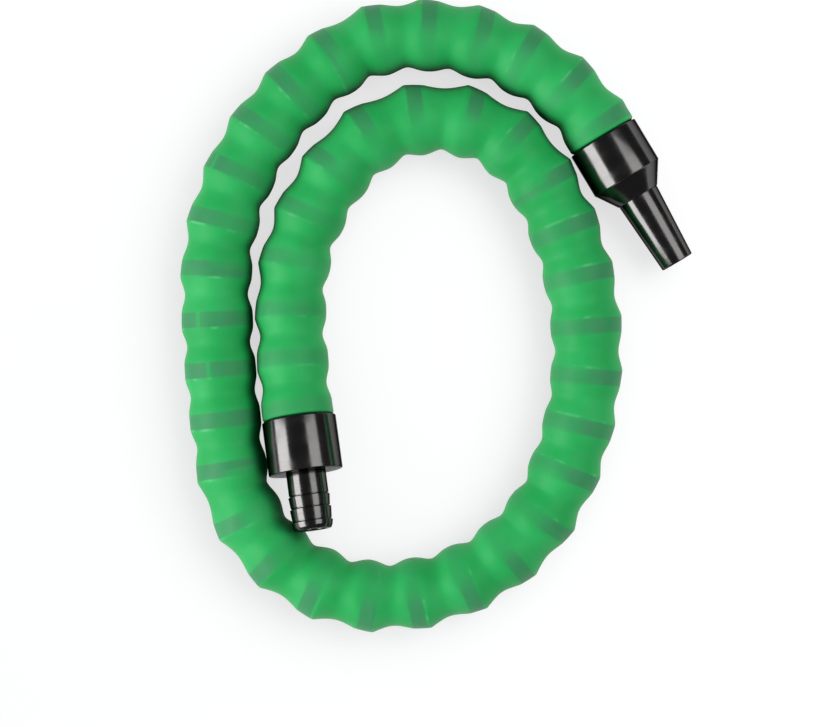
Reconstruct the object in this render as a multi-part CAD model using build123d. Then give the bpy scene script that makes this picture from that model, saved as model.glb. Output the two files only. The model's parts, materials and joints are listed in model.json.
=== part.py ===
"""Flexible silicone hose with loose split support rings and two turned metal end fittings.

The hose lies in a flat coil of about one and a half turns. One end carries a tapered nose, the
other a barbed nipple that rests on the outer turn. Origin: centre of the footprint, on the ground.
"""

import math
import os

from build123d import *

# Coil: where the hose leaves the nose fitting, and its bends in turn as (radius, sweep), all to
# the left. The ground plan is made of these arcs only.
COIL_START_X = 73.25
COIL_START_Y = 78.19
COIL_START_HEADING = 121.0
COIL_BENDS = [
    (92.0, 71.0),
    (40.0, 17.0),
    (118.0, 62.0),
    (560.0, 8.0),
    (67.0, 78.5),
    (84.0, 69.5),
    (145.0, 55.0),
    (52.0, 106.5),
    (98.0, 42.0),
    (370.0, 7.5),
]

# The last stretch climbs gently, so that the nipple rests on top of the outer turn.
CLIMB_LENGTH = 100.0
CLIMB_ANGLE = 8.5

# Sleeve: a soft tube stretched over the rings, so it is widest at a ring and necked between two.
CREST_RADIUS = 15.7
NECK_RADIUS = 13.7
SLEEVE_WALL = 1.4
CUFF_RADIUS = 13.9
CUFF_LENGTH = 12.0
CUFF_FLARE = 0.1

# Support rings: loose in the sleeve, evenly spaced, each a little askew and split by one slit.
RING_COUNT = 41
RING_WIDTH = 6.6
RING_WALL = 2.0
RING_CLEARANCE = 0.2
RING_EDGE_ROUND = 0.4
RING_MAX_TILT = 5.0
RING_TILT_STEP = 137.5
FIRST_RING_INSET = 5.0
LAST_RING_INSET = 4.0
RING_SEAT_MARGIN = 0.15

# Place of a ring's slit round the hose: 0 faces the inside of the coil, 90 up and 270 the ground.
SLIT_WIDTH = 1.6
SLIT_ANGLE = 270.0
TURNED_SLIT_ANGLES = {9: 139.0, 12: 116.0, 13: 104.0}

# Fittings, measured along their own axis from the collar's mouth outwards.
COLLAR_RADIUS = 16.2
CUP_RADIUS = 14.1
CUP_DEPTH = 14.0
EDGE_BREAK = 0.4
SHANK_CLEARANCE = 0.05
FLOW_RADIUS = 5.5

NOSE_COLLAR_LENGTH = 20.9
NOSE_SHOULDER_LENGTH = 9.2
NOSE_SHOULDER_END_RADIUS = 9.8
NOSE_BASE_RADIUS = 9.5
NOSE_TIP_RADIUS = 7.45
NOSE_LENGTH = 33.7
NOSE_SHANK_RADIUS = 7.95

BARB_COLLAR_LENGTH = 23.4
NIPPLE_NECK_RADIUS = 8.7
NIPPLE_NECK_LENGTH = 9.8
NIPPLE_SHANK_RADIUS = 6.95
BARB_LENGTHS = [5.4, 5.8, 4.2]
BARB_CREST_RADIUS = 9.05
BARB_FOOT_RADIUS = 8.6
BARB_GROOVE_RADIUS = 8.2
BARB_GROOVE_WIDTH = 0.7
NIPPLE_TIP_RADIUS = 7.9
NIPPLE_TIP_CHAMFER = 1.4

# Spigot inside each collar: it plugs the sleeve's end and is drawn in by the shank.
SPIGOT_RADIUS = 12.3
SPIGOT_START = 1.0
SPIGOT_FLANGE_RADIUS = 13.8
SPIGOT_FLANGE_THICKNESS = 1.9
SPIGOT_BORE_RADIUS = 6.0
SHANK_END = 9.1
SEAL_POSITION = 6.0
SEAL_SECTION_RADIUS = 0.75
SEAL_CENTRE_RADIUS = 11.7
SEAL_GROOVE_RADIUS = 10.9
SEAL_GROOVE_WIDTH = 1.9

GROUND_HEIGHT = COLLAR_RADIUS
COIL_LENGTH = sum(radius * math.radians(sweep) for radius, sweep in COIL_BENDS)
RING_PITCH = (COIL_LENGTH - FIRST_RING_INSET - LAST_RING_INSET) / (RING_COUNT - 1)


def step_along_arc(x, y, heading, radius, turn):
    """Follow a left-hand arc through an angle; all angles in radians."""
    end = heading + turn
    x += radius * (math.sin(end) - math.sin(heading))
    y -= radius * (math.cos(end) - math.cos(heading))
    return x, y, end


def ground_plan(distance):
    """Point and heading on the coil's ground plan."""
    x, y = COIL_START_X, COIL_START_Y
    heading = math.radians(COIL_START_HEADING)
    for radius, sweep in COIL_BENDS:
        turn = min(distance / radius, math.radians(sweep))
        x, y, heading = step_along_arc(x, y, heading, radius, turn)
        distance = max(distance - radius * turn, 0.0)
    return x, y, heading


def climb(distance):
    """Height gained and slope at a distance along the hose."""
    full_slope = math.radians(CLIMB_ANGLE)
    run = max(distance - (COIL_LENGTH - CLIMB_LENGTH), 0.0)
    return full_slope * run**2 / (2 * CLIMB_LENGTH), full_slope * run / CLIMB_LENGTH


def cross_section(distance, tilt=0.0):
    """Plane square to the hose: Z along it, X towards the inside of the coil."""
    x, y, heading = ground_plan(distance)
    rise, slope = climb(distance)
    along = Vector(
        math.cos(heading) * math.cos(slope),
        math.sin(heading) * math.cos(slope),
        math.sin(slope),
    )
    inward = Vector(-math.sin(heading), math.cos(heading), 0)
    plane = Plane(origin=(x, y, GROUND_HEIGHT + rise), x_dir=inward, z_dir=along)
    return plane.rotated((0, tilt, 0))


def ring_distance(index):
    return FIRST_RING_INSET + index * RING_PITCH


def ring_tilt(index):
    """Rings sit a little askew, except the two held by the fittings."""
    if index in (0, RING_COUNT - 1):
        return 0.0
    return RING_MAX_TILT * math.sin(math.radians(RING_TILT_STEP * index))


def disc(plane, radius):
    return plane * Circle(radius)


def tube_sections(crest, neck, cuff, overrun):
    """Cross-sections of one wall of the sleeve, from cuff to cuff."""
    half = RING_WIDTH / 2 + RING_SEAT_MARGIN
    first, last = cross_section(0.0), cross_section(COIL_LENGTH)
    cuff_depth = CUFF_LENGTH + overrun
    sections = [disc(first.offset(-cuff_depth), cuff), disc(first.offset(CUFF_FLARE), cuff)]
    for index in range(RING_COUNT):
        seat = cross_section(ring_distance(index), ring_tilt(index))
        sections.append(disc(seat.offset(-half), crest))
        sections.append(disc(seat.offset(half), crest))
        if index < RING_COUNT - 1:
            middle = ring_distance(index) + RING_PITCH / 2
            sections.append(disc(cross_section(middle), neck))
    sections.append(disc(last.offset(-CUFF_FLARE), cuff))
    sections.append(disc(last.offset(cuff_depth), cuff))
    return sections


def silicone_sleeve():
    outside = loft(tube_sections(CREST_RADIUS, NECK_RADIUS, CUFF_RADIUS, 0.0), ruled=True)
    inside = loft(
        tube_sections(
            CREST_RADIUS - SLEEVE_WALL,
            NECK_RADIUS - SLEEVE_WALL,
            CUFF_RADIUS - SLEEVE_WALL,
            1.0,
        ),
        ruled=True,
    )
    return outside - inside


def slit_cutter(index, wall_middle):
    angle = TURNED_SLIT_ANGLES.get(index, SLIT_ANGLE)
    cutter = Box(2 * RING_WALL, SLIT_WIDTH, 2 * RING_WIDTH)
    return Rot(0, 0, angle) * Pos(wall_middle, 0, 0) * cutter


def support_ring(index):
    outer = CREST_RADIUS - SLEEVE_WALL - RING_CLEARANCE
    ring = Cylinder(outer, RING_WIDTH) - Cylinder(outer - RING_WALL, RING_WIDTH)
    ring = fillet(ring.edges().filter_by(GeomType.CIRCLE), RING_EDGE_ROUND)
    ring -= slit_cutter(index, outer - RING_WALL / 2)
    return cross_section(ring_distance(index), ring_tilt(index)).location * ring


def turned(points):
    """Solid of revolution about Z from (radius, position) corners."""
    outline = Polyline(*[(radius, 0, position) for radius, position in points], close=True)
    return revolve(make_face(outline), Axis.Z)


def nose_collar():
    shoulder = NOSE_COLLAR_LENGTH
    end = shoulder + NOSE_SHOULDER_LENGTH
    hole = NOSE_SHANK_RADIUS + SHANK_CLEARANCE
    return turned(
        [
            (CUP_RADIUS, 0),
            (COLLAR_RADIUS - EDGE_BREAK, 0),
            (COLLAR_RADIUS, EDGE_BREAK),
            (COLLAR_RADIUS, shoulder - EDGE_BREAK),
            (COLLAR_RADIUS - EDGE_BREAK, shoulder),
            (NOSE_SHOULDER_END_RADIUS, end),
            (hole, end),
            (hole, CUP_DEPTH),
            (CUP_RADIUS, CUP_DEPTH),
        ]
    )


def nose():
    base = NOSE_COLLAR_LENGTH + NOSE_SHOULDER_LENGTH
    tip = base + NOSE_LENGTH
    return turned(
        [
            (FLOW_RADIUS, SHANK_END),
            (NOSE_SHANK_RADIUS, SHANK_END),
            (NOSE_SHANK_RADIUS, base),
            (NOSE_BASE_RADIUS, base),
            (NOSE_TIP_RADIUS, tip - EDGE_BREAK),
            (NOSE_TIP_RADIUS - EDGE_BREAK, tip),
            (FLOW_RADIUS + EDGE_BREAK, tip),
            (FLOW_RADIUS, tip - EDGE_BREAK),
        ]
    )


def barb_collar():
    end = BARB_COLLAR_LENGTH
    hole = NIPPLE_SHANK_RADIUS + SHANK_CLEARANCE
    return turned(
        [
            (CUP_RADIUS, 0),
            (COLLAR_RADIUS - EDGE_BREAK, 0),
            (COLLAR_RADIUS, EDGE_BREAK),
            (COLLAR_RADIUS, end - EDGE_BREAK),
            (COLLAR_RADIUS - EDGE_BREAK, end),
            (hole, end),
            (hole, CUP_DEPTH),
            (CUP_RADIUS, CUP_DEPTH),
        ]
    )


def barb_outline(start):
    """Corners of the barbs: a narrow groove, a crest, then a slope down towards the tip."""
    corners = []
    position = start
    for length in BARB_LENGTHS:
        corners.append((BARB_GROOVE_RADIUS, position))
        corners.append((BARB_GROOVE_RADIUS, position + BARB_GROOVE_WIDTH / 2))
        corners.append((BARB_CREST_RADIUS, position + BARB_GROOVE_WIDTH))
        position += length
        if length != BARB_LENGTHS[-1]:
            corners.append((BARB_FOOT_RADIUS, position))
    corners.append((BARB_FOOT_RADIUS, position - NIPPLE_TIP_CHAMFER))
    corners.append((NIPPLE_TIP_RADIUS, position))
    return corners, position


def nipple():
    base = BARB_COLLAR_LENGTH
    neck_end = base + NIPPLE_NECK_LENGTH
    corners, tip = barb_outline(neck_end)
    return turned(
        [
            (FLOW_RADIUS, SHANK_END),
            (NIPPLE_SHANK_RADIUS, SHANK_END),
            (NIPPLE_SHANK_RADIUS, base),
            (NIPPLE_NECK_RADIUS, base),
            (NIPPLE_NECK_RADIUS, neck_end),
        ]
        + corners
        + [(FLOW_RADIUS + EDGE_BREAK, tip), (FLOW_RADIUS, tip - EDGE_BREAK)]
    )


def spigot(shank_radius):
    """Flanged plug with a seal groove; the shank enters it from the flange side."""
    socket = shank_radius + SHANK_CLEARANCE
    floor = CUP_DEPTH
    flange = floor - SPIGOT_FLANGE_THICKNESS
    low = SEAL_POSITION - SEAL_GROOVE_WIDTH / 2
    high = SEAL_POSITION + SEAL_GROOVE_WIDTH / 2
    return turned(
        [
            (SPIGOT_BORE_RADIUS, SPIGOT_START),
            (SPIGOT_RADIUS - EDGE_BREAK, SPIGOT_START),
            (SPIGOT_RADIUS, SPIGOT_START + EDGE_BREAK),
            (SPIGOT_RADIUS, low),
            (SEAL_GROOVE_RADIUS, low),
            (SEAL_GROOVE_RADIUS, high),
            (SPIGOT_RADIUS, high),
            (SPIGOT_RADIUS, flange),
            (SPIGOT_FLANGE_RADIUS, flange),
            (SPIGOT_FLANGE_RADIUS, floor),
            (socket, floor),
            (socket, SHANK_END),
            (SPIGOT_BORE_RADIUS, SHANK_END),
        ]
    )


def seal():
    return Pos(0, 0, SEAL_POSITION) * Torus(SEAL_CENTRE_RADIUS, SEAL_SECTION_RADIUS)


def start_fitting_place():
    """Mouth of the nose fitting, with Z pointing out of the hose."""
    plane = cross_section(0.0)
    return Plane(origin=plane.origin, x_dir=plane.x_dir, z_dir=-plane.z_dir).location


def end_fitting_place():
    """Mouth of the barbed fitting, with Z pointing out of the hose."""
    return cross_section(COIL_LENGTH).location


def all_parts():
    start = start_fitting_place()
    end = end_fitting_place()
    parts = {
        "silicone_sleeve": silicone_sleeve(),
        "nose_collar": start * nose_collar(),
        "tapered_nose": start * nose(),
        "nose_spigot": start * spigot(NOSE_SHANK_RADIUS),
        "nose_seal": start * seal(),
        "barb_collar": end * barb_collar(),
        "barbed_nipple": end * nipple(),
        "barb_spigot": end * spigot(NIPPLE_SHANK_RADIUS),
        "barb_seal": end * seal(),
    }
    for index in range(RING_COUNT):
        parts[f"support_ring_{index + 1:02d}"] = support_ring(index)
    return parts


os.makedirs("parts", exist_ok=True)
for name, shape in all_parts().items():
    export_step(shape, f"parts/{name}.step")
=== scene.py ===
import json
import math

import bpy
import numpy as np
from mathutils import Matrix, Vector

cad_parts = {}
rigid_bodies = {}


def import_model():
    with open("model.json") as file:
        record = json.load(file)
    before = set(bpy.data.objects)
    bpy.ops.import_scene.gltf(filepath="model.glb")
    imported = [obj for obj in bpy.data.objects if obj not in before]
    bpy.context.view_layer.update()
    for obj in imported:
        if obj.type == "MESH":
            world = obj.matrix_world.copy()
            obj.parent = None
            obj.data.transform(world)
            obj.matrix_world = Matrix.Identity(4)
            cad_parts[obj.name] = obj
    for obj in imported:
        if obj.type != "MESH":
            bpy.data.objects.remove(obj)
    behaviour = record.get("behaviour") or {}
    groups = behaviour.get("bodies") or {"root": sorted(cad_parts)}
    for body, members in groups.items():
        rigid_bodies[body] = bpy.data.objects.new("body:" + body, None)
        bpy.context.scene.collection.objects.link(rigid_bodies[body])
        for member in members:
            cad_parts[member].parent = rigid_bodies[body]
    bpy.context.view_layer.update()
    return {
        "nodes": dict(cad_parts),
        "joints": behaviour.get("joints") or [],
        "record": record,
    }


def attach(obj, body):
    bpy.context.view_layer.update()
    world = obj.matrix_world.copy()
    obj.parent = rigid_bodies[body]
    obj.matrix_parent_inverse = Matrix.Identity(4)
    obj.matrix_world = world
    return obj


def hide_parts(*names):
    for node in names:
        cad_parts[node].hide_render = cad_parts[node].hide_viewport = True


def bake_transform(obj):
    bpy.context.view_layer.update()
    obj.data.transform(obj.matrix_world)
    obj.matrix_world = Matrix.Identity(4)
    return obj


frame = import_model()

# A flexible silicone hose in a flat coil. The sleeve is rebuilt as one smooth skin, cut at the
# ring centres into one closed piece per gap; the end pieces move with the end rings, the others
# stay where they are built. The turned fittings are rebuilt from the sizes of their CAD nodes.
# Lengths are in metres.

MM = 0.001
ANGLE_STEPS = 96
RING_COUNT = sum(name.startswith("support_ring_") for name in frame["nodes"])

# Sleeve profile. "Outside" and "inside" are the two sides of a bend.
SLEEVE_WALL = 1.35 * MM
RING_HALF_WIDTH = 3.3 * MM
CREST_STRAIGHT = 15.65 * MM
CREST_OUTSIDE = 15.95 * MM
CREST_INSIDE = 15.3 * MM
NECK_STRAIGHT = 1.5 * MM
NECK_OUTSIDE = 2.2 * MM
NECK_INSIDE = 2.4 * MM
RING_ROLL = 0.2
FOLD_SOFTNESS = 0.3
SLACK_AT_BARB_END = 0.45
SLACK_FROM_GAP_TO_GAP = (33, 36)
FULL_BEND = math.radians(20.0)
SEAT_RADIUS = 14.2 * MM
CUFF_RADIUS = 13.9 * MM
CUFF_WALL = 1.3 * MM
CUFF_DEPTH = 10.0 * MM
CUFF_LIP_ROWS = [-1.5, -0.4, 0.0, 0.25, 0.6, 1.1, 1.7, 2.6]
RIPPLE = 0.12 * MM
SIDE_FADE = (-0.1, 0.95)
TAUT_FADE = (-0.55, 0.35)
LEAST_NECK_DEPTH, NECK_DEPTH_SPREAD = 0.85, 0.3

# Rows of the skin along one gap, as a share of the pitch; close together at the ring edges.
GAP_ROWS = [
    0.0, 0.05, 0.10, 0.135, 0.16, 0.19, 0.225, 0.27, 0.32, 0.37, 0.42, 0.46, 0.485,
    0.5, 0.515, 0.54, 0.58, 0.63, 0.68, 0.73, 0.775, 0.81, 0.84, 0.865, 0.90, 0.95, 1.0,
]
INNER_ROWS = [0, 4, 8, 13, 18, 22, 26]

# At full travel the bend loses accuracy at a piece's second ring in two gaps, counted from 0. One
# is marked to be bound from its other ring, though bind_to_gap treats it as it treats the rest.
# The other is cut at its neck into two pieces.
GAP_BOUND_FROM_FAR_RING = 8
GAP_CUT_AT_NECK = 34


def hashed(number):
    """A fixed pseudo-random value from 0 to 1 for a number."""
    value = math.sin(number * 12.9898 + 4.1414) * 43758.5453
    return value - math.floor(value)


def smoothstep(low, high, value):
    share = np.clip((value - low) / (high - low), 0.0, 1.0)
    return share * share * (3 - 2 * share)


# ---------------------------------------------------------------- places read from the frame


def points_of(node):
    return np.array([v.co for v in frame["nodes"][node].data.vertices], float)


def ring_name(index):
    return f"support_ring_{index + 1:02d}"


def ring_frame(index):
    """Centre and axis of a support ring; its axis is the direction it is thinnest in."""
    points = points_of(ring_name(index))
    middle = points.mean(0)
    spread = np.linalg.eigh(np.cov((points - middle).T))[1]
    axis, across, up = spread[:, 0], spread[:, 1], spread[:, 2]
    flat = np.stack([(points - middle) @ across, (points - middle) @ up], 1)
    far = np.linalg.norm(flat, axis=1)
    flat = flat[far > 0.95 * far.max()]
    system = np.column_stack([2 * flat, np.ones(len(flat))])
    a, b, _ = np.linalg.lstsq(system, (flat**2).sum(1), rcond=None)[0]
    return middle + a * across + b * up, axis


def slit_angle(index):
    """Where a ring is split, found from the flat walls of its slit; 0 is the inside of the coil."""
    centre, axis = RINGS[index]
    faces = frame["nodes"][ring_name(index)].data.polygons
    middles, normals = np.empty(3 * len(faces)), np.empty(3 * len(faces))
    faces.foreach_get("center", middles)
    faces.foreach_get("normal", normals)
    reach = middles.reshape(-1, 3) - centre
    tangent = np.cross(axis, reach)
    facing = np.abs((tangent * normals.reshape(-1, 3)).sum(1)) / np.linalg.norm(tangent, axis=1)
    middle = reach[facing > 0.99].mean(0)
    inward, up = side_directions(centre_line(2 * index + 1, 0.0)[1])
    return math.atan2(float(middle @ up), float(middle @ inward))


def mount(name):
    found = next(m for m in frame["record"]["mounts"] if m["name"] == name)
    axis = np.array(found["axis"], float)
    return np.array(found["pos_m"], float), axis / np.linalg.norm(axis)


def collar_mouth(collar, bore):
    """Centre of a collar's open end, and the axis that points out of the hose."""
    position, axis = mount(bore)
    reach = (points_of(collar) - position) @ axis
    return position + axis * reach.min(), axis


def joint_between(a, b):
    return next(j for j in frame["joints"] if {j["parent"], j["child"]} == {a, b})


RING_BODY = {}
for body, members in frame["record"]["behaviour"]["bodies"].items():
    for member in members:
        RING_BODY[member] = body
RINGS = [ring_frame(index) for index in range(RING_COUNT)]
NOSE_MOUTH, NOSE_AXIS = collar_mouth("nose_collar", "nose_bore")
BARB_MOUTH, BARB_AXIS = collar_mouth("barb_collar", "nipple_bore")


# ---------------------------------------------------------------- centre line


def centre_line_knots():
    """Collar mouth, then ring and gap centres in turn, then the other mouth."""
    knots = [NOSE_MOUTH, RINGS[0][0]]
    for index in range(RING_COUNT - 1):
        joint = joint_between(RING_BODY[ring_name(index)], RING_BODY[ring_name(index + 1)])
        knots += [np.array(joint["pos_m"], float), RINGS[index + 1][0]]
    return np.array(knots + [BARB_MOUTH])


KNOTS = centre_line_knots()
KNOT_DISTANCE = np.concatenate([[0], np.cumsum(np.linalg.norm(np.diff(KNOTS, axis=0), axis=1))])


def knot_slopes():
    slopes = np.zeros_like(KNOTS)
    before, after = np.diff(KNOT_DISTANCE)[:-1, None], np.diff(KNOT_DISTANCE)[1:, None]
    left = (KNOTS[1:-1] - KNOTS[:-2]) / before
    right = (KNOTS[2:] - KNOTS[1:-1]) / after
    slopes[1:-1] = (left * after + right * before) / (before + after)
    slopes[0], slopes[-1] = -NOSE_AXIS, BARB_AXIS
    return slopes


KNOT_SLOPES = knot_slopes()


def centre_line(knot, share):
    """Point and direction on the centre line, between a knot and the next one."""
    a, b = KNOTS[knot], KNOTS[knot + 1]
    span = KNOT_DISTANCE[knot + 1] - KNOT_DISTANCE[knot]
    da, db = KNOT_SLOPES[knot] * span, KNOT_SLOPES[knot + 1] * span
    t, t2, t3 = share, share**2, share**3
    point = (2 * t3 - 3 * t2 + 1) * a + (t3 - 2 * t2 + t) * da + (3 * t2 - 2 * t3) * b
    point += (t3 - t2) * db
    slope = (6 * t2 - 6 * t) * (a - b) + (3 * t2 - 4 * t + 1) * da + (3 * t2 - 2 * t) * db
    return point, slope / np.linalg.norm(slope)


def side_directions(along):
    """Directions across the hose: towards the inside of the coil, and up."""
    inward = np.cross([0.0, 0.0, 1.0], along)
    inward /= np.linalg.norm(inward)
    return inward, np.cross(along, inward)


def gap_bend(gap):
    """How far the centre line turns between two ring centres."""
    a = centre_line(2 * gap + 1, 0.0)[1]
    b = centre_line(2 * gap + 2, 1.0)[1]
    return math.acos(float(np.clip(a @ b, -1, 1)))


BENDS = [gap_bend(gap) for gap in range(RING_COUNT - 1)]


def bend_at(gap, share):
    """Bend along a gap, from 0 (straight) to 1, joined smoothly from gap to gap."""
    own = BENDS[gap]
    near = BENDS[max(gap - 1, 0)] if share < 0.5 else BENDS[min(gap + 1, len(BENDS) - 1)]
    mixed = own + (near - own) * abs(share - 0.5)
    return min(mixed / FULL_BEND, 1.0)


# ---------------------------------------------------------------- sleeve


THETA = np.linspace(0, 2 * math.pi, ANGLE_STEPS, endpoint=False)
PITCH = float(np.mean(np.diff(KNOT_DISTANCE[1:-1:2])))
EDGE_SHARE = RING_HALF_WIDTH / PITCH
SLITS = [slit_angle(index) for index in range(RING_COUNT)]


def neck_shapes(share):
    """Depth from 0 to 1 along a gap for a straight hose, and outside and inside of a bend."""
    free = np.clip((share - EDGE_SHARE) / (1 - 2 * EDGE_SHARE), 0.0, 1.0)
    straight = math.sin(math.pi * free) ** 2
    outside = math.sin(math.pi * free) ** 0.9
    fold = math.cos(math.pi * share) ** 2 + FOLD_SOFTNESS**2
    widest = math.hypot(1, FOLD_SOFTNESS)
    inside = (widest - math.sqrt(fold)) / (widest - FOLD_SOFTNESS)
    return straight, outside, inside


def ring_roll(share):
    """Each ring leans a little, so that its far edge stands proud on the outside of a bend."""
    if share < EDGE_SHARE:
        return share * PITCH * RING_ROLL
    if share > 1 - EDGE_SHARE:
        return (share - 1) * PITCH * RING_ROLL
    free = (share - EDGE_SHARE) / (1 - 2 * EDGE_SHARE)
    return RING_HALF_WIDTH * RING_ROLL * (1 - 2 * free)


def skin_radius(gap, share):
    """Outer radius of the sleeve round one cross-section."""
    bend = bend_at(gap, share)
    side = np.cos(THETA)
    inside = bend * smoothstep(*SIDE_FADE, side)
    outside = bend * smoothstep(*SIDE_FADE, -side)
    plain = 1 - inside - outside
    neck = neck_shapes(share)
    depth = LEAST_NECK_DEPTH + NECK_DEPTH_SPREAD * hashed(gap + 0.5)
    radius = plain * (CREST_STRAIGHT - NECK_STRAIGHT * neck[0] * depth)
    radius = radius + outside * (CREST_OUTSIDE - NECK_OUTSIDE * neck[1] * depth + ring_roll(share))
    radius = radius + inside * (CREST_INSIDE - NECK_INSIDE * neck[2] * depth)
    wave = hashed(gap) * (1 - share) + hashed(gap + 1) * share
    ripple = np.cos(2 * THETA + 7 * wave) + 0.6 * np.cos(3 * THETA - 5 * wave)
    return radius + RIPPLE * ripple * (0.4 + 0.6 * neck[0])


def ring_plane_distance(index, points):
    centre, axis = RINGS[index]
    along = centre_line(2 * index + 1, 0.0)[1]
    axis = axis * np.sign(axis @ along)
    return (points - centre) @ axis


def section(point, along, radius):
    inward, up = side_directions(along)
    ring = np.cos(THETA)[:, None] * inward + np.sin(THETA)[:, None] * up
    return point + ring * np.asarray(radius).reshape(-1, 1)


def gap_rows(gap):
    """Outer and inner rows of points of the skin between two ring centres."""
    outer, inner = [], []
    for share in GAP_ROWS:
        half = 2 * gap + (1 if share <= 0.5 else 2)
        local = share * 2 if share <= 0.5 else share * 2 - 1
        point, along = centre_line(half, local)
        radius = skin_radius(gap, share)
        outer.append(section(point, along, radius))
        seat = smoothstep(EDGE_SHARE + 0.09, EDGE_SHARE + 0.02, np.array(min(share, 1 - share)))
        inner_radius = (radius - SLEEVE_WALL) * (1 - seat) + SEAT_RADIUS * seat
        inner.append(section(point, along, inner_radius))
    return outer, inner


def cuff_rows(mouth, axis, ring_index):
    """Rows from inside a collar's cup to the centre of the ring at its mouth."""
    ring_distance = float((mouth - RINGS[ring_index][0]) @ axis)
    gap = 0 if ring_index == 0 else RING_COUNT - 2
    ring_share = 0.0 if ring_index == 0 else 1.0
    full = skin_radius(gap, ring_share)
    stations = [-CUFF_DEPTH, -0.5 * CUFF_DEPTH, *(row * MM for row in CUFF_LIP_ROWS)]
    stations += [0.7 * ring_distance, ring_distance]
    outer, inner = [], []
    for station in stations:
        grown = smoothstep(-0.3 * MM, 1.5 * MM, np.array(station)) ** 0.6
        radius = CUFF_RADIUS + (full - CUFF_RADIUS) * grown
        if station <= 0:
            radius = np.full(ANGLE_STEPS, CUFF_RADIUS)
        if station < ring_distance:
            point, along = mouth - axis * station, -axis
        else:
            point, along = RINGS[ring_index][0], centre_line(2 * ring_index + 1, 0.0)[1]
        if ring_index == 0 or station == ring_distance:
            direction = along
        else:
            direction = -along
        outer.append(section(point, direction, radius))
        inner.append(section(point, direction, np.minimum(radius - CUFF_WALL, SEAT_RADIUS)))
    inner[-1] = section(RINGS[ring_index][0], centre_line(2 * ring_index + 1, 0.0)[1], SEAT_RADIUS)
    if ring_index:
        outer, inner = outer[::-1], inner[::-1]
    return outer, inner


def build_sleeve_rows():
    """All pieces of the sleeve in order, each as (name, outer rows, inner rows)."""
    pieces = [("sleeve_nose_cuff", *cuff_rows(NOSE_MOUTH, NOSE_AXIS, 0))]
    for gap in range(RING_COUNT - 1):
        pieces.append((f"sleeve_bend_{gap + 1:02d}", *gap_rows(gap)))
    last = RING_COUNT - 1
    pieces.append(("sleeve_barb_cuff", *cuff_rows(BARB_MOUTH, BARB_AXIS, last)))
    return pieces


def skin_normals(rows):
    """Unit normals of a long stack of rows, from differences along and around it."""
    stack = np.array(rows)
    along = np.gradient(stack, axis=0)
    around = np.roll(stack, -1, axis=1) - np.roll(stack, 1, axis=1)
    normal = np.cross(around, along)
    normal /= np.linalg.norm(normal, axis=2, keepdims=True)
    outward = stack - stack.mean(axis=1, keepdims=True)
    flip = np.sign((normal * outward).sum(axis=2, keepdims=True))
    return normal * flip


def tube_piece(name, outer, inner, outer_normals, inner_normals):
    """Closed thick tube: outer skin, inner skin and a rim at each end."""
    n = ANGLE_STEPS
    points = np.concatenate([np.concatenate(outer), np.concatenate(inner)])
    base = len(outer) * n
    faces, normals = [], []

    def quad(a, b, c, d, na, nb, nc, nd):
        faces.append((a, b, c, d))
        normals.extend((na, nb, nc, nd))

    for r in range(len(outer) - 1):
        for i in range(n):
            j = (i + 1) % n
            m = outer_normals
            quad(
                r * n + j, (r + 1) * n + j, (r + 1) * n + i, r * n + i,
                m[r][j], m[r + 1][j], m[r + 1][i], m[r][i],
            )
    for r in range(len(inner) - 1):
        for i in range(n):
            j = (i + 1) % n
            m = inner_normals
            quad(
                base + r * n + i, base + (r + 1) * n + i, base + (r + 1) * n + j, base + r * n + j,
                -m[r][i], -m[r + 1][i], -m[r + 1][j], -m[r][j],
            )
    ends = ((0, 0, 1), (len(outer) - 1, len(inner) - 1, -1))
    for outer_row, inner_row, way in ends:
        out, inn = outer_row * n, base + inner_row * n
        facing = np.cross(points[out + n // 4] - points[inn], points[out] - points[inn])
        facing = facing / np.linalg.norm(facing) * way
        for i in range(n):
            j = (i + 1) % n
            loop = (out + j, inn + j, inn + i, out + i)
            loop = loop if way < 0 else loop[::-1]
            quad(*loop, facing, facing, facing, facing)
    mesh = bpy.data.meshes.new(name)
    mesh.from_pydata([tuple(p) for p in points], [], faces)
    mesh.shade_smooth()
    mesh.normals_split_custom_set([tuple(v) for v in normals])
    piece = bpy.data.objects.new(name, mesh)
    bpy.context.scene.collection.objects.link(piece)
    return piece, points


def add_attribute(piece, name, values, kind="FLOAT"):
    attribute = piece.data.attributes.new(name, kind, "POINT")
    key = "vector" if kind == "FLOAT_VECTOR" else "value"
    attribute.data.foreach_set(key, np.asarray(values, np.float32).ravel())


def paint_sleeve(piece, points, gap, rows):
    """Stores what the silicone material needs: distances to the rings and slits, and tautness."""
    first, second = max(gap, 0), min(gap + 1, RING_COUNT - 1)
    share = {-1: 1.0, RING_COUNT - 1: 0.0}.get(gap)
    add_attribute(piece, "rest", points, "FLOAT_VECTOR")
    add_attribute(piece, "to_first", ring_plane_distance(first, points) / MM)
    add_attribute(piece, "to_second", ring_plane_distance(second, points) / MM)
    bend_gap = min(max(gap, 0), RING_COUNT - 2)
    bend = bend_at(bend_gap, 0.5 if share is None else 1 - share)
    side = np.tile(np.cos(THETA), rows)
    slack = SLACK_AT_BARB_END * smoothstep(*SLACK_FROM_GAP_TO_GAP, gap)
    add_attribute(piece, "taut", (1 - bend * smoothstep(*TAUT_FADE, side)) * (1 - slack))
    for name, index in (("slit_first", first), ("slit_second", second)):
        away = np.abs((THETA - SLITS[index] + math.pi) % (2 * math.pi) - math.pi)
        add_attribute(piece, name, np.tile(away * CREST_STRAIGHT / MM, rows))


def sleeve_piece(name, gap, material, outer, inner, outer_normals, inner_normals):
    piece, points = tube_piece(name, outer, inner, outer_normals, inner_normals)
    paint_sleeve(piece, points, gap, len(outer) + len(inner))
    piece.data.materials.append(material)
    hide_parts("silicone_sleeve")
    return piece


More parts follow.
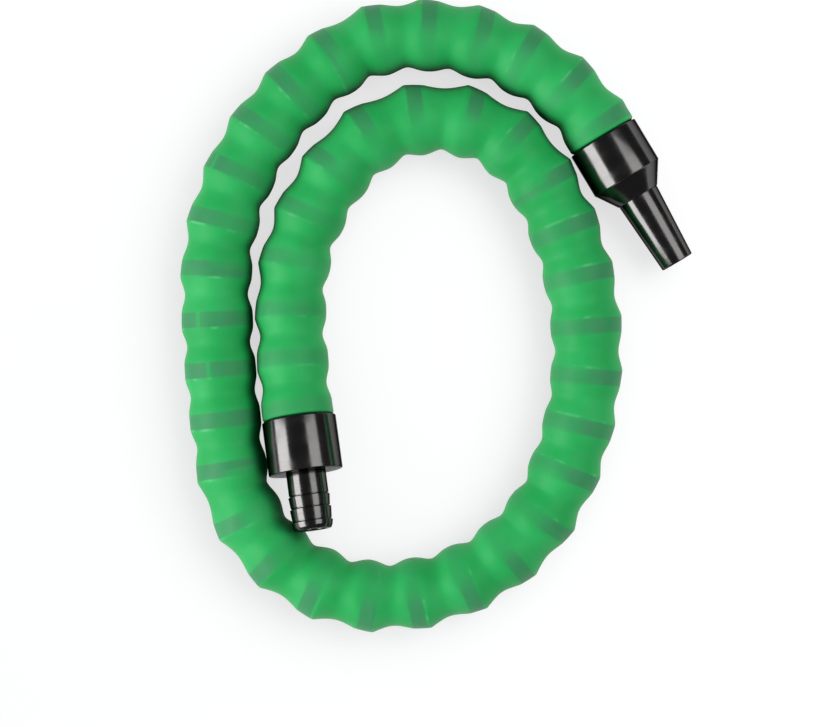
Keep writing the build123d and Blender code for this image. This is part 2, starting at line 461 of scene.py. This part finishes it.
def make_sleeve(material):
    pieces = build_sleeve_rows()
    all_outer, starts = [], []
    for _, outer, _ in pieces:
        starts.append(len(all_outer) - (1 if all_outer else 0))
        all_outer += outer if not all_outer else outer[1:]
    normals = skin_normals(all_outer)
    for number, (name, outer, inner) in enumerate(pieces):
        gap = number - 1
        start = starts[number]
        outer_normals = normals[start:start + len(outer)]
        if 0 <= gap < RING_COUNT - 1:
            inner = [inner[row] for row in INNER_ROWS]
        skins = (outer, inner, outer_normals, skin_normals(inner))
        if gap == GAP_CUT_AT_NECK:
            neck = GAP_ROWS.index(0.5)
            cuts = (neck, INNER_ROWS.index(neck)) * 2
            near = [skin[:cut + 1] for skin, cut in zip(skins, cuts)]
            far = [skin[cut:] for skin, cut in zip(skins, cuts)]
            bind_to_gap(sleeve_piece(name, gap, material, *near), gap)
            bind_to_gap(sleeve_piece(f"{name}_far", gap, material, *far), gap, from_far_ring=True)
            continue
        piece = sleeve_piece(name, gap, material, *skins)
        if gap < 0:
            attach(piece, RING_BODY[ring_name(0)])
        elif gap >= RING_COUNT - 1:
            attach(piece, RING_BODY[ring_name(RING_COUNT - 1)])
        else:
            bind_to_gap(piece, gap, from_far_ring=gap == GAP_BOUND_FROM_FAR_RING)


def bind_to_gap(piece, gap, from_far_ring=False):
    """Bakes one piece's placement into its mesh; the piece is not tied to its rings, whichever ring
    is named.
    """
    near_point = tuple(centre_line(2 * gap + 1, 2 * EDGE_SHARE)[0])
    far_point = tuple(centre_line(2 * gap + 2, 1 - 2 * EDGE_SHARE)[0])
    if from_far_ring:
        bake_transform(piece)
    else:
        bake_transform(piece)


# ---------------------------------------------------------------- materials


class Nodes:
    """Short calls for building a material's node tree."""

    def __init__(self, name):
        self.material = bpy.data.materials.new(name)
        self.material.use_nodes = True
        self.tree = self.material.node_tree
        self.surface = self.tree.nodes["Principled BSDF"]

    def add(self, kind, **settings):
        node = self.tree.nodes.new(kind)
        for key, value in settings.items():
            setattr(node, key, value)
        return node

    def link(self, value, socket):
        if isinstance(value, bpy.types.NodeSocket):
            self.tree.links.new(value, socket)
        else:
            socket.default_value = value

    def set(self, **inputs):
        for key, value in inputs.items():
            self.link(value, self.surface.inputs[key.replace("_", " ")])

    def attribute(self, name, vector=False):
        node = self.add("ShaderNodeAttribute", attribute_name=name)
        return node.outputs["Vector" if vector else "Fac"]

    def math(self, operation, a, b=0.0, clamp=False):
        node = self.add("ShaderNodeMath", operation=operation, use_clamp=clamp)
        self.link(a, node.inputs[0])
        self.link(b, node.inputs[1])
        return node.outputs[0]

    def ramp(self, value, low, high, out_low=0.0, out_high=1.0):
        node = self.add("ShaderNodeMapRange", interpolation_type="SMOOTHSTEP")
        for socket, item in zip(node.inputs, (value, low, high, out_low, out_high)):
            self.link(item, socket)
        return node.outputs[0]

    def noise(self, vector, scale, detail=2.0, roughness=0.5):
        node = self.add("ShaderNodeTexNoise")
        self.link(vector, node.inputs["Vector"])
        node.inputs["Scale"].default_value = scale
        node.inputs["Detail"].default_value = detail
        node.inputs["Roughness"].default_value = roughness
        return node.outputs["Fac"]

    def mix(self, share, a, b):
        node = self.add("ShaderNodeMix", data_type="RGBA")
        self.link(share, node.inputs[0])
        self.link(a, node.inputs[6])
        self.link(b, node.inputs[7])
        return node.outputs[2]

    def bump(self, height, strength, distance):
        node = self.add("ShaderNodeBump")
        node.inputs["Strength"].default_value = strength
        node.inputs["Distance"].default_value = distance
        self.link(height, node.inputs["Height"])
        self.link(node.outputs[0], self.surface.inputs["Normal"])


SILICONE = (0.008, 0.320, 0.068, 1)
SILICONE_LIGHT = (0.030, 0.420, 0.115, 1)
RING_SHADE = (0.034, 0.190, 0.085, 1)
EDGE_HIGHLIGHT = (0.120, 0.500, 0.210, 1)
CONTACT_SHADE = (0.001, 0.060, 0.014, 1)
CONTACT_REACH = 0.034
BAND_HALF_WIDTH = 3.35  # in millimetres, as the distances stored on the sleeve
EDGE_LINE = 3.8
SHARPEST_BLUR, SLACK_BLUR = 0.35, 2.6
METAL_DARK = (0.100, 0.098, 0.100, 1)
METAL_LIGHT = (0.130, 0.127, 0.122, 1)
METAL_EDGE_TINT = (0.2, 0.2, 0.2, 1)
RING_GREEN = (0.05, 0.16, 0.09, 1)
SEAL_BLACK = (0.03, 0.03, 0.032, 1)


def ring_band(nodes, distance, taut):
    """Darkness of a ring seen through the skin: crisp where taut, faint and soft where slack."""
    away = nodes.math("ABSOLUTE", distance)
    blur = nodes.math("MULTIPLY_ADD", nodes.math("SUBTRACT", 1.0, taut), SLACK_BLUR)
    blur.node.inputs[2].default_value = SHARPEST_BLUR
    low = nodes.math("SUBTRACT", BAND_HALF_WIDTH, blur)
    high = nodes.math("ADD", BAND_HALF_WIDTH, blur)
    return nodes.math("SUBTRACT", 1.0, nodes.ramp(away, low, high))


def silicone_material():
    """Matte translucent green silicone with the support rings showing through as dull bands, a
    painted highlight line beside each ring and painted shade where the turns touch.
    """
    nodes = Nodes("silicone_green")
    rest = nodes.attribute("rest", vector=True)
    taut = nodes.attribute("taut")
    bands, slits, edges = [], [], []
    for which in ("first", "second"):
        distance = nodes.attribute(f"to_{which}")
        band = ring_band(nodes, distance, taut)
        slit = nodes.ramp(nodes.attribute(f"slit_{which}"), 0.4, 1.3)
        bands.append(nodes.math("MULTIPLY", band, slit))
        # Painted highlight: a thin lighter line beside each ring's band, where the skin runs over
        # the ring's edge.
        off_edge = nodes.math("ABSOLUTE", nodes.math("SUBTRACT", distance, EDGE_LINE))
        edges.append(nodes.ramp(off_edge, 0.9, 0.1))
    band = nodes.math("MAXIMUM", *bands)
    edge = nodes.math("MAXIMUM", *edges)
    patchy = nodes.ramp(nodes.noise(rest, 95.0, 3.0), 0.3, 0.7, 0.72, 1.0)
    shown = nodes.ramp(taut, 0.0, 1.0, 0.18, 0.95)
    band = nodes.math("MULTIPLY", nodes.math("MULTIPLY", band, patchy), shown)
    cloud = nodes.ramp(nodes.noise(rest, 38.0, 2.0), 0.35, 0.68)
    colour = nodes.mix(nodes.math("MULTIPLY", cloud, 0.45), SILICONE, SILICONE_LIGHT)
    colour = nodes.mix(nodes.math("MULTIPLY", band, 0.85), colour, RING_SHADE)
    # The painted highlight line is broken up by noise and shows less where the skin is slack.
    highlight_breakup = nodes.ramp(nodes.noise(rest, 130.0, 2.0), 0.5, 0.72)
    lit_edge = nodes.math("MULTIPLY", nodes.math("MULTIPLY", edge, highlight_breakup), shown)
    colour = nodes.mix(nodes.math("MULTIPLY", lit_edge, 0.55), colour, EDGE_HIGHLIGHT)
    # Painted shade: where ambient occlusion finds little open space, as where the turns touch, the
    # skin is darkened towards CONTACT_SHADE and its specular and sheen are weakened.
    sky = nodes.add("ShaderNodeAmbientOcclusion", samples=8)
    sky.inputs["Distance"].default_value = CONTACT_REACH
    near = nodes.ramp(sky.outputs["AO"], 0.72, 0.25, 0.0, 1.0)
    colour = nodes.mix(near, colour, CONTACT_SHADE)
    grain = nodes.noise(rest, 2600.0, 2.0, 0.6)
    nodes.set(Base_Color=colour, Roughness=nodes.ramp(grain, 0.3, 0.7, 0.5, 0.62))
    outside_painted_shade = nodes.math("SUBTRACT", 1.0, near)
    nodes.set(Specular_IOR_Level=nodes.math("MULTIPLY", outside_painted_shade, 0.25), Sheen_Roughness=0.45)
    nodes.set(Sheen_Weight=nodes.math("MULTIPLY", outside_painted_shade, 0.1))
    nodes.set(Subsurface_Weight=0.25, Subsurface_Scale=0.004)
    nodes.surface.inputs["Subsurface Radius"].default_value = (0.25, 1.0, 0.45)
    nodes.surface.inputs["Sheen Tint"].default_value = (0.75, 1.0, 0.8, 1)
    nodes.bump(grain, 0.12, 0.00008)
    return nodes.material


def metal_material():
    """Dark polished metal with the fine rings that a lathe leaves."""
    nodes = Nodes("dark_turned_metal")
    along = nodes.attribute("along")
    line = nodes.add("ShaderNodeCombineXYZ")
    nodes.link(along, line.inputs[2])
    turning = nodes.noise(line.outputs[0], 5.5, 4.0, 0.75)
    coarse = nodes.noise(line.outputs[0], 0.9, 2.0)
    smudge = nodes.noise(nodes.attribute("rest", vector=True), 160.0, 3.0)
    colour = nodes.mix(coarse, METAL_DARK, METAL_LIGHT)
    lathe_marks = nodes.ramp(turning, 0.3, 0.7, 0.12, 0.21)
    rough = nodes.math("ADD", lathe_marks, nodes.ramp(smudge, 0.4, 0.8, 0.0, 0.09))
    nodes.set(Base_Color=colour, Metallic=1.0, Roughness=rough)
    nodes.set(Anisotropic=0.35, Specular_Tint=METAL_EDGE_TINT)
    nodes.bump(turning, 0.4, 0.00001)
    return nodes.material


def plain_material(name, colour, roughness, grain_scale, bump):
    """Moulded plastic or rubber: a slightly mottled colour and a fine grain."""
    nodes = Nodes(name)
    where = nodes.add("ShaderNodeTexCoord").outputs["Object"]
    mottle = nodes.noise(where, 60.0, 2.0)
    darker = tuple(c * 0.7 for c in colour[:3]) + (1,)
    grain = nodes.noise(where, grain_scale, 3.0, 0.6)
    nodes.set(Base_Color=nodes.mix(mottle, darker, colour))
    nodes.set(Roughness=nodes.ramp(grain, 0.3, 0.7, roughness - 0.08, roughness + 0.08))
    nodes.bump(grain, bump, 0.0001)
    return nodes.material


# ---------------------------------------------------------------- turned fittings


def rounded(corners, sizes, steps=4):
    """Replaces each corner of a closed (radius, position) outline with a small arc."""
    path = []
    count = len(corners)
    for i, corner in enumerate(corners):
        here = np.array(corner, float)
        back = np.array(corners[i - 1], float) - here
        ahead = np.array(corners[(i + 1) % count], float) - here
        size = min(sizes[i], 0.45 * np.linalg.norm(back), 0.45 * np.linalg.norm(ahead))
        back /= np.linalg.norm(back)
        ahead /= np.linalg.norm(ahead)
        start, end = here + back * size, here + ahead * size
        normal_in = np.array([-back[1], back[0]])
        normal_out = np.array([ahead[1], -ahead[0]])
        for step in range(steps + 1):
            t = step / steps
            point = (1 - t) ** 2 * start + 2 * t * (1 - t) * here + t**2 * end
            normal = (1 - t) * normal_in + t * normal_out
            path.append((point, normal / max(np.linalg.norm(normal), 1e-9)))
    return path


def lathe(name, corners, sizes, origin, axis, segments=128):
    """Solid of revolution of a closed outline, with true round edges."""
    path = rounded(corners, sizes)
    side = np.cross(axis, [0.0, 0.0, 1.0])
    side /= np.linalg.norm(side)
    up = np.cross(side, axis)
    points, rows = [], len(path)
    turns = [2 * math.pi * s / segments for s in range(segments)]
    spokes = [math.cos(a) * side + math.sin(a) * up for a in turns]
    for (radius, position), _ in path:
        for spoke in spokes:
            points.append(origin + (axis * position + spoke * radius) * MM)
    faces, normals = [], []
    for r in range(rows):
        following = (r + 1) % rows
        for s in range(segments):
            t = (s + 1) % segments
            here, ahead = r * segments, following * segments
            faces.append((here + s, ahead + s, ahead + t, here + t))
            for row, spoke in ((r, s), (following, s), (following, t), (r, t)):
                across, along = path[row][1]
                normals.append(tuple(spokes[spoke] * across + axis * along))
    mesh = bpy.data.meshes.new(name)
    mesh.from_pydata([tuple(p) for p in points], [], faces)
    mesh.shade_smooth()
    first = Vector(normals[0]).dot(mesh.polygons[0].normal)
    if first < 0:
        mesh.flip_normals()
        normals = [tuple(-c for c in n) for n in normals]
    piece = bpy.data.objects.new(name, mesh)
    bpy.context.scene.collection.objects.link(piece)
    points = np.array(points)
    add_attribute(piece, "along", ((points - origin) @ axis) / MM)
    add_attribute(piece, "rest", points, "FLOAT_VECTOR")
    return piece


# Closed outlines as (radius, position out of the hose, edge rounding), in millimetres.
NOSE_COLLAR = [
    (14.1, 0.0, 0.2), (16.2, 0.0, 0.5), (16.2, 20.5, 0.2), (15.8, 20.9, 0.2), (9.8, 30.1, 0.25),
    (8.0, 30.1, 0.05), (8.0, 14.0, 0.1), (14.1, 14.0, 0.1),
]
TAPERED_NOSE = [
    (5.5, 9.1, 0.2), (7.95, 9.1, 0.2), (7.95, 30.1, 0.05), (9.5, 30.1, 0.2),
    (7.45, 63.4, 0.3), (7.05, 63.8, 0.2), (5.9, 63.8, 0.2), (5.5, 63.4, 0.2),
]
BARB_COLLAR = [
    (14.1, 0.0, 0.2), (16.2, 0.0, 0.5), (16.2, 23.4, 0.5), (7.0, 23.4, 0.05),
    (7.0, 14.0, 0.1), (14.1, 14.0, 0.1),
]
BARB_STARTS = [33.2, 38.6, 44.4]
LAST_BARB_FOOT = 47.2
NIPPLE_NECK_RADIUS = 8.7
BARB_GROOVE_RADIUS = 8.2
BARB_CREST_RADIUS = 9.05
BARB_FOOT_RADIUS = 8.6
BARB_GROOVE_LENGTH = 0.35
BARB_CREST_DISTANCE = 0.7


def nipple_outline():
    """Shank, neck and three barbs; each barb starts with a narrow groove and a sharp crest."""
    outline = [(5.5, 9.1, 0.2), (6.95, 9.1, 0.2), (6.95, 23.4, 0.05)]
    outline.append((NIPPLE_NECK_RADIUS, 23.4, 0.1))
    foot = NIPPLE_NECK_RADIUS
    for start in BARB_STARTS:
        outline += [(foot, start, 0.06), (BARB_GROOVE_RADIUS, start, 0.05)]
        outline.append((BARB_GROOVE_RADIUS, start + BARB_GROOVE_LENGTH, 0.05))
        outline.append((BARB_CREST_RADIUS, start + BARB_CREST_DISTANCE, 0.15))
        foot = BARB_FOOT_RADIUS
    outline += [(foot, LAST_BARB_FOOT, 0.4), (7.9, 48.6, 0.3), (5.9, 48.6, 0.2), (5.5, 48.2, 0.2)]
    return outline


def make_fittings(material):
    turned = (
        ("nose_collar", NOSE_COLLAR, NOSE_MOUTH, NOSE_AXIS, "nose_end"),
        ("tapered_nose", TAPERED_NOSE, NOSE_MOUTH, NOSE_AXIS, "nose_end"),
        ("barb_collar", BARB_COLLAR, BARB_MOUTH, BARB_AXIS, "barb_end"),
        ("barbed_nipple", nipple_outline(), BARB_MOUTH, BARB_AXIS, "barb_end"),
    )
    for node, outline, origin, axis, body in turned:
        corners = [(radius, position) for radius, position, _ in outline]
        piece = lathe(f"{node}_turned", corners, [size for *_, size in outline], origin, axis)
        piece.data.materials.append(material)
        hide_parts(node)
        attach(piece, body)


def finish_cad_nodes(ring_plastic, seal_rubber):
    for name, node in frame["nodes"].items():
        if node.hide_render:
            continue
        is_seal = name.endswith("_seal")
        node.data.materials.clear()
        node.data.materials.append(seal_rubber if is_seal else ring_plastic)


# ---------------------------------------------------------------- floor, light, camera

WORLD_LIGHT = 0.51
WORLD_IN_REFLECTIONS = 0.08
WORLD_COLOUR = (0.96, 0.97, 1.0, 1)
FLOOR_REACH = 3.0
FLOOR_GREY = (0.42, 0.42, 0.42, 1)
FLOOR_CONTACT_REACH = 0.016
FLOOR_GLOW_SEEN, FLOOR_GLOW_AS_LIGHT = 0.66, 0.2
CAMERA_ABOVE = 0.95
WIDTH_IN_VIEW = 0.3626
CAMERA_PLACE = (-0.0107, -0.0211, CAMERA_ABOVE + 0.0162)
SENSOR_MM = 36.0


def make_floor():
    """White paper that glows a little, as an over-exposed backdrop does; the glow is cut in narrow
    gaps, a painted shade between the hose's turns.
    """
    mesh = bpy.data.meshes.new("floor")
    signs = ((-1, -1), (1, -1), (1, 1), (-1, 1))
    corners = [(FLOOR_REACH * x, FLOOR_REACH * y, 0.0) for x, y in signs]
    mesh.from_pydata(corners, [], [(0, 1, 2, 3)])
    floor = bpy.data.objects.new("floor", mesh)
    bpy.context.scene.collection.objects.link(floor)
    nodes = Nodes("pale_floor")
    nodes.set(Base_Color=FLOOR_GREY, Roughness=0.7, Specular_IOR_Level=0.0)
    # Painted shade: the glow is cut where ambient occlusion finds a narrow gap, so the gaps between
    # the turns read dark.
    sky = nodes.add("ShaderNodeAmbientOcclusion", samples=24)
    sky.inputs["Distance"].default_value = FLOOR_CONTACT_REACH
    outside_gap_shade = nodes.ramp(sky.outputs["AO"], 0.04, 0.14)
    diffuse_ray = nodes.add("ShaderNodeLightPath").outputs["Is Diffuse Ray"]
    glow = nodes.ramp(diffuse_ray, 0.0, 1.0, FLOOR_GLOW_SEEN, FLOOR_GLOW_AS_LIGHT)
    glow = nodes.math("MULTIPLY", glow, outside_gap_shade)
    nodes.set(Emission_Color=(1, 1, 1, 1), Emission_Strength=glow)
    mesh.materials.append(nodes.material)
    return floor


def area_light(name, place, target, size, power, in_reflections=True):
    light = bpy.data.lights.new(name, "AREA")
    light.shape = "RECTANGLE"
    light.size, light.size_y = size
    light.energy = power
    lamp = bpy.data.objects.new(name, light)
    lamp.location = place
    lamp.rotation_euler = (Vector(target) - Vector(place)).to_track_quat("-Z", "Y").to_euler()
    lamp.visible_glossy = in_reflections
    bpy.context.scene.collection.objects.link(lamp)
    return lamp


def make_light(floor):
    """Soft all-round light, a big low light on the left, a wide soft one on the right."""
    world = bpy.data.worlds.new("studio")
    world.use_nodes = True
    tree = world.node_tree
    background = tree.nodes["Background"]
    background.inputs[0].default_value = WORLD_COLOUR
    path = tree.nodes.new("ShaderNodeLightPath")
    dimmed = tree.nodes.new("ShaderNodeMapRange")
    tree.links.new(path.outputs["Is Glossy Ray"], dimmed.inputs[0])
    dimmed.inputs["To Min"].default_value = WORLD_LIGHT
    dimmed.inputs["To Max"].default_value = WORLD_IN_REFLECTIONS
    tree.links.new(dimmed.outputs[0], background.inputs[1])
    bpy.context.scene.world = world
    middle = (0.0, 0.0, 0.0)
    area_light("key", (0.40, 0.60, 1.15), middle, (0.9, 0.9), 3.5, in_reflections=False)
    area_light("right_soft", (0.87, 0.12, 1.16), middle, (1.1, 0.90), 7.5)
    left = area_light("left_fill", (-1.05, -0.32, 0.60), middle, (1.1, 0.85), 16.5)
    unlit = bpy.data.collections.new("not_lit_from_the_left")
    unlit.objects.link(floor)
    left.light_linking.receiver_collection = unlit
    unlit.collection_objects[0].light_linking.link_state = "EXCLUDE"


def make_camera():
    """Straight above, as in a shop photo, framed at the height of the hose."""
    camera = bpy.data.cameras.new("camera")
    camera.sensor_width = SENSOR_MM
    camera.lens = SENSOR_MM * CAMERA_ABOVE / WIDTH_IN_VIEW
    camera.clip_start, camera.clip_end = 0.01, 20.0
    eye = bpy.data.objects.new("camera", camera)
    eye.location = CAMERA_PLACE
    bpy.context.scene.collection.objects.link(eye)
    bpy.context.scene.camera = eye


make_sleeve(silicone_material())
make_fittings(metal_material())
finish_cad_nodes(
    plain_material("ring_plastic_green", RING_GREEN, 0.5, 900.0, 0.1),
    plain_material("seal_rubber_black", SEAL_BLACK, 0.55, 1500.0, 0.2),
)
make_light(make_floor())
make_camera()
bpy.context.scene.view_settings.view_transform = "Standard"
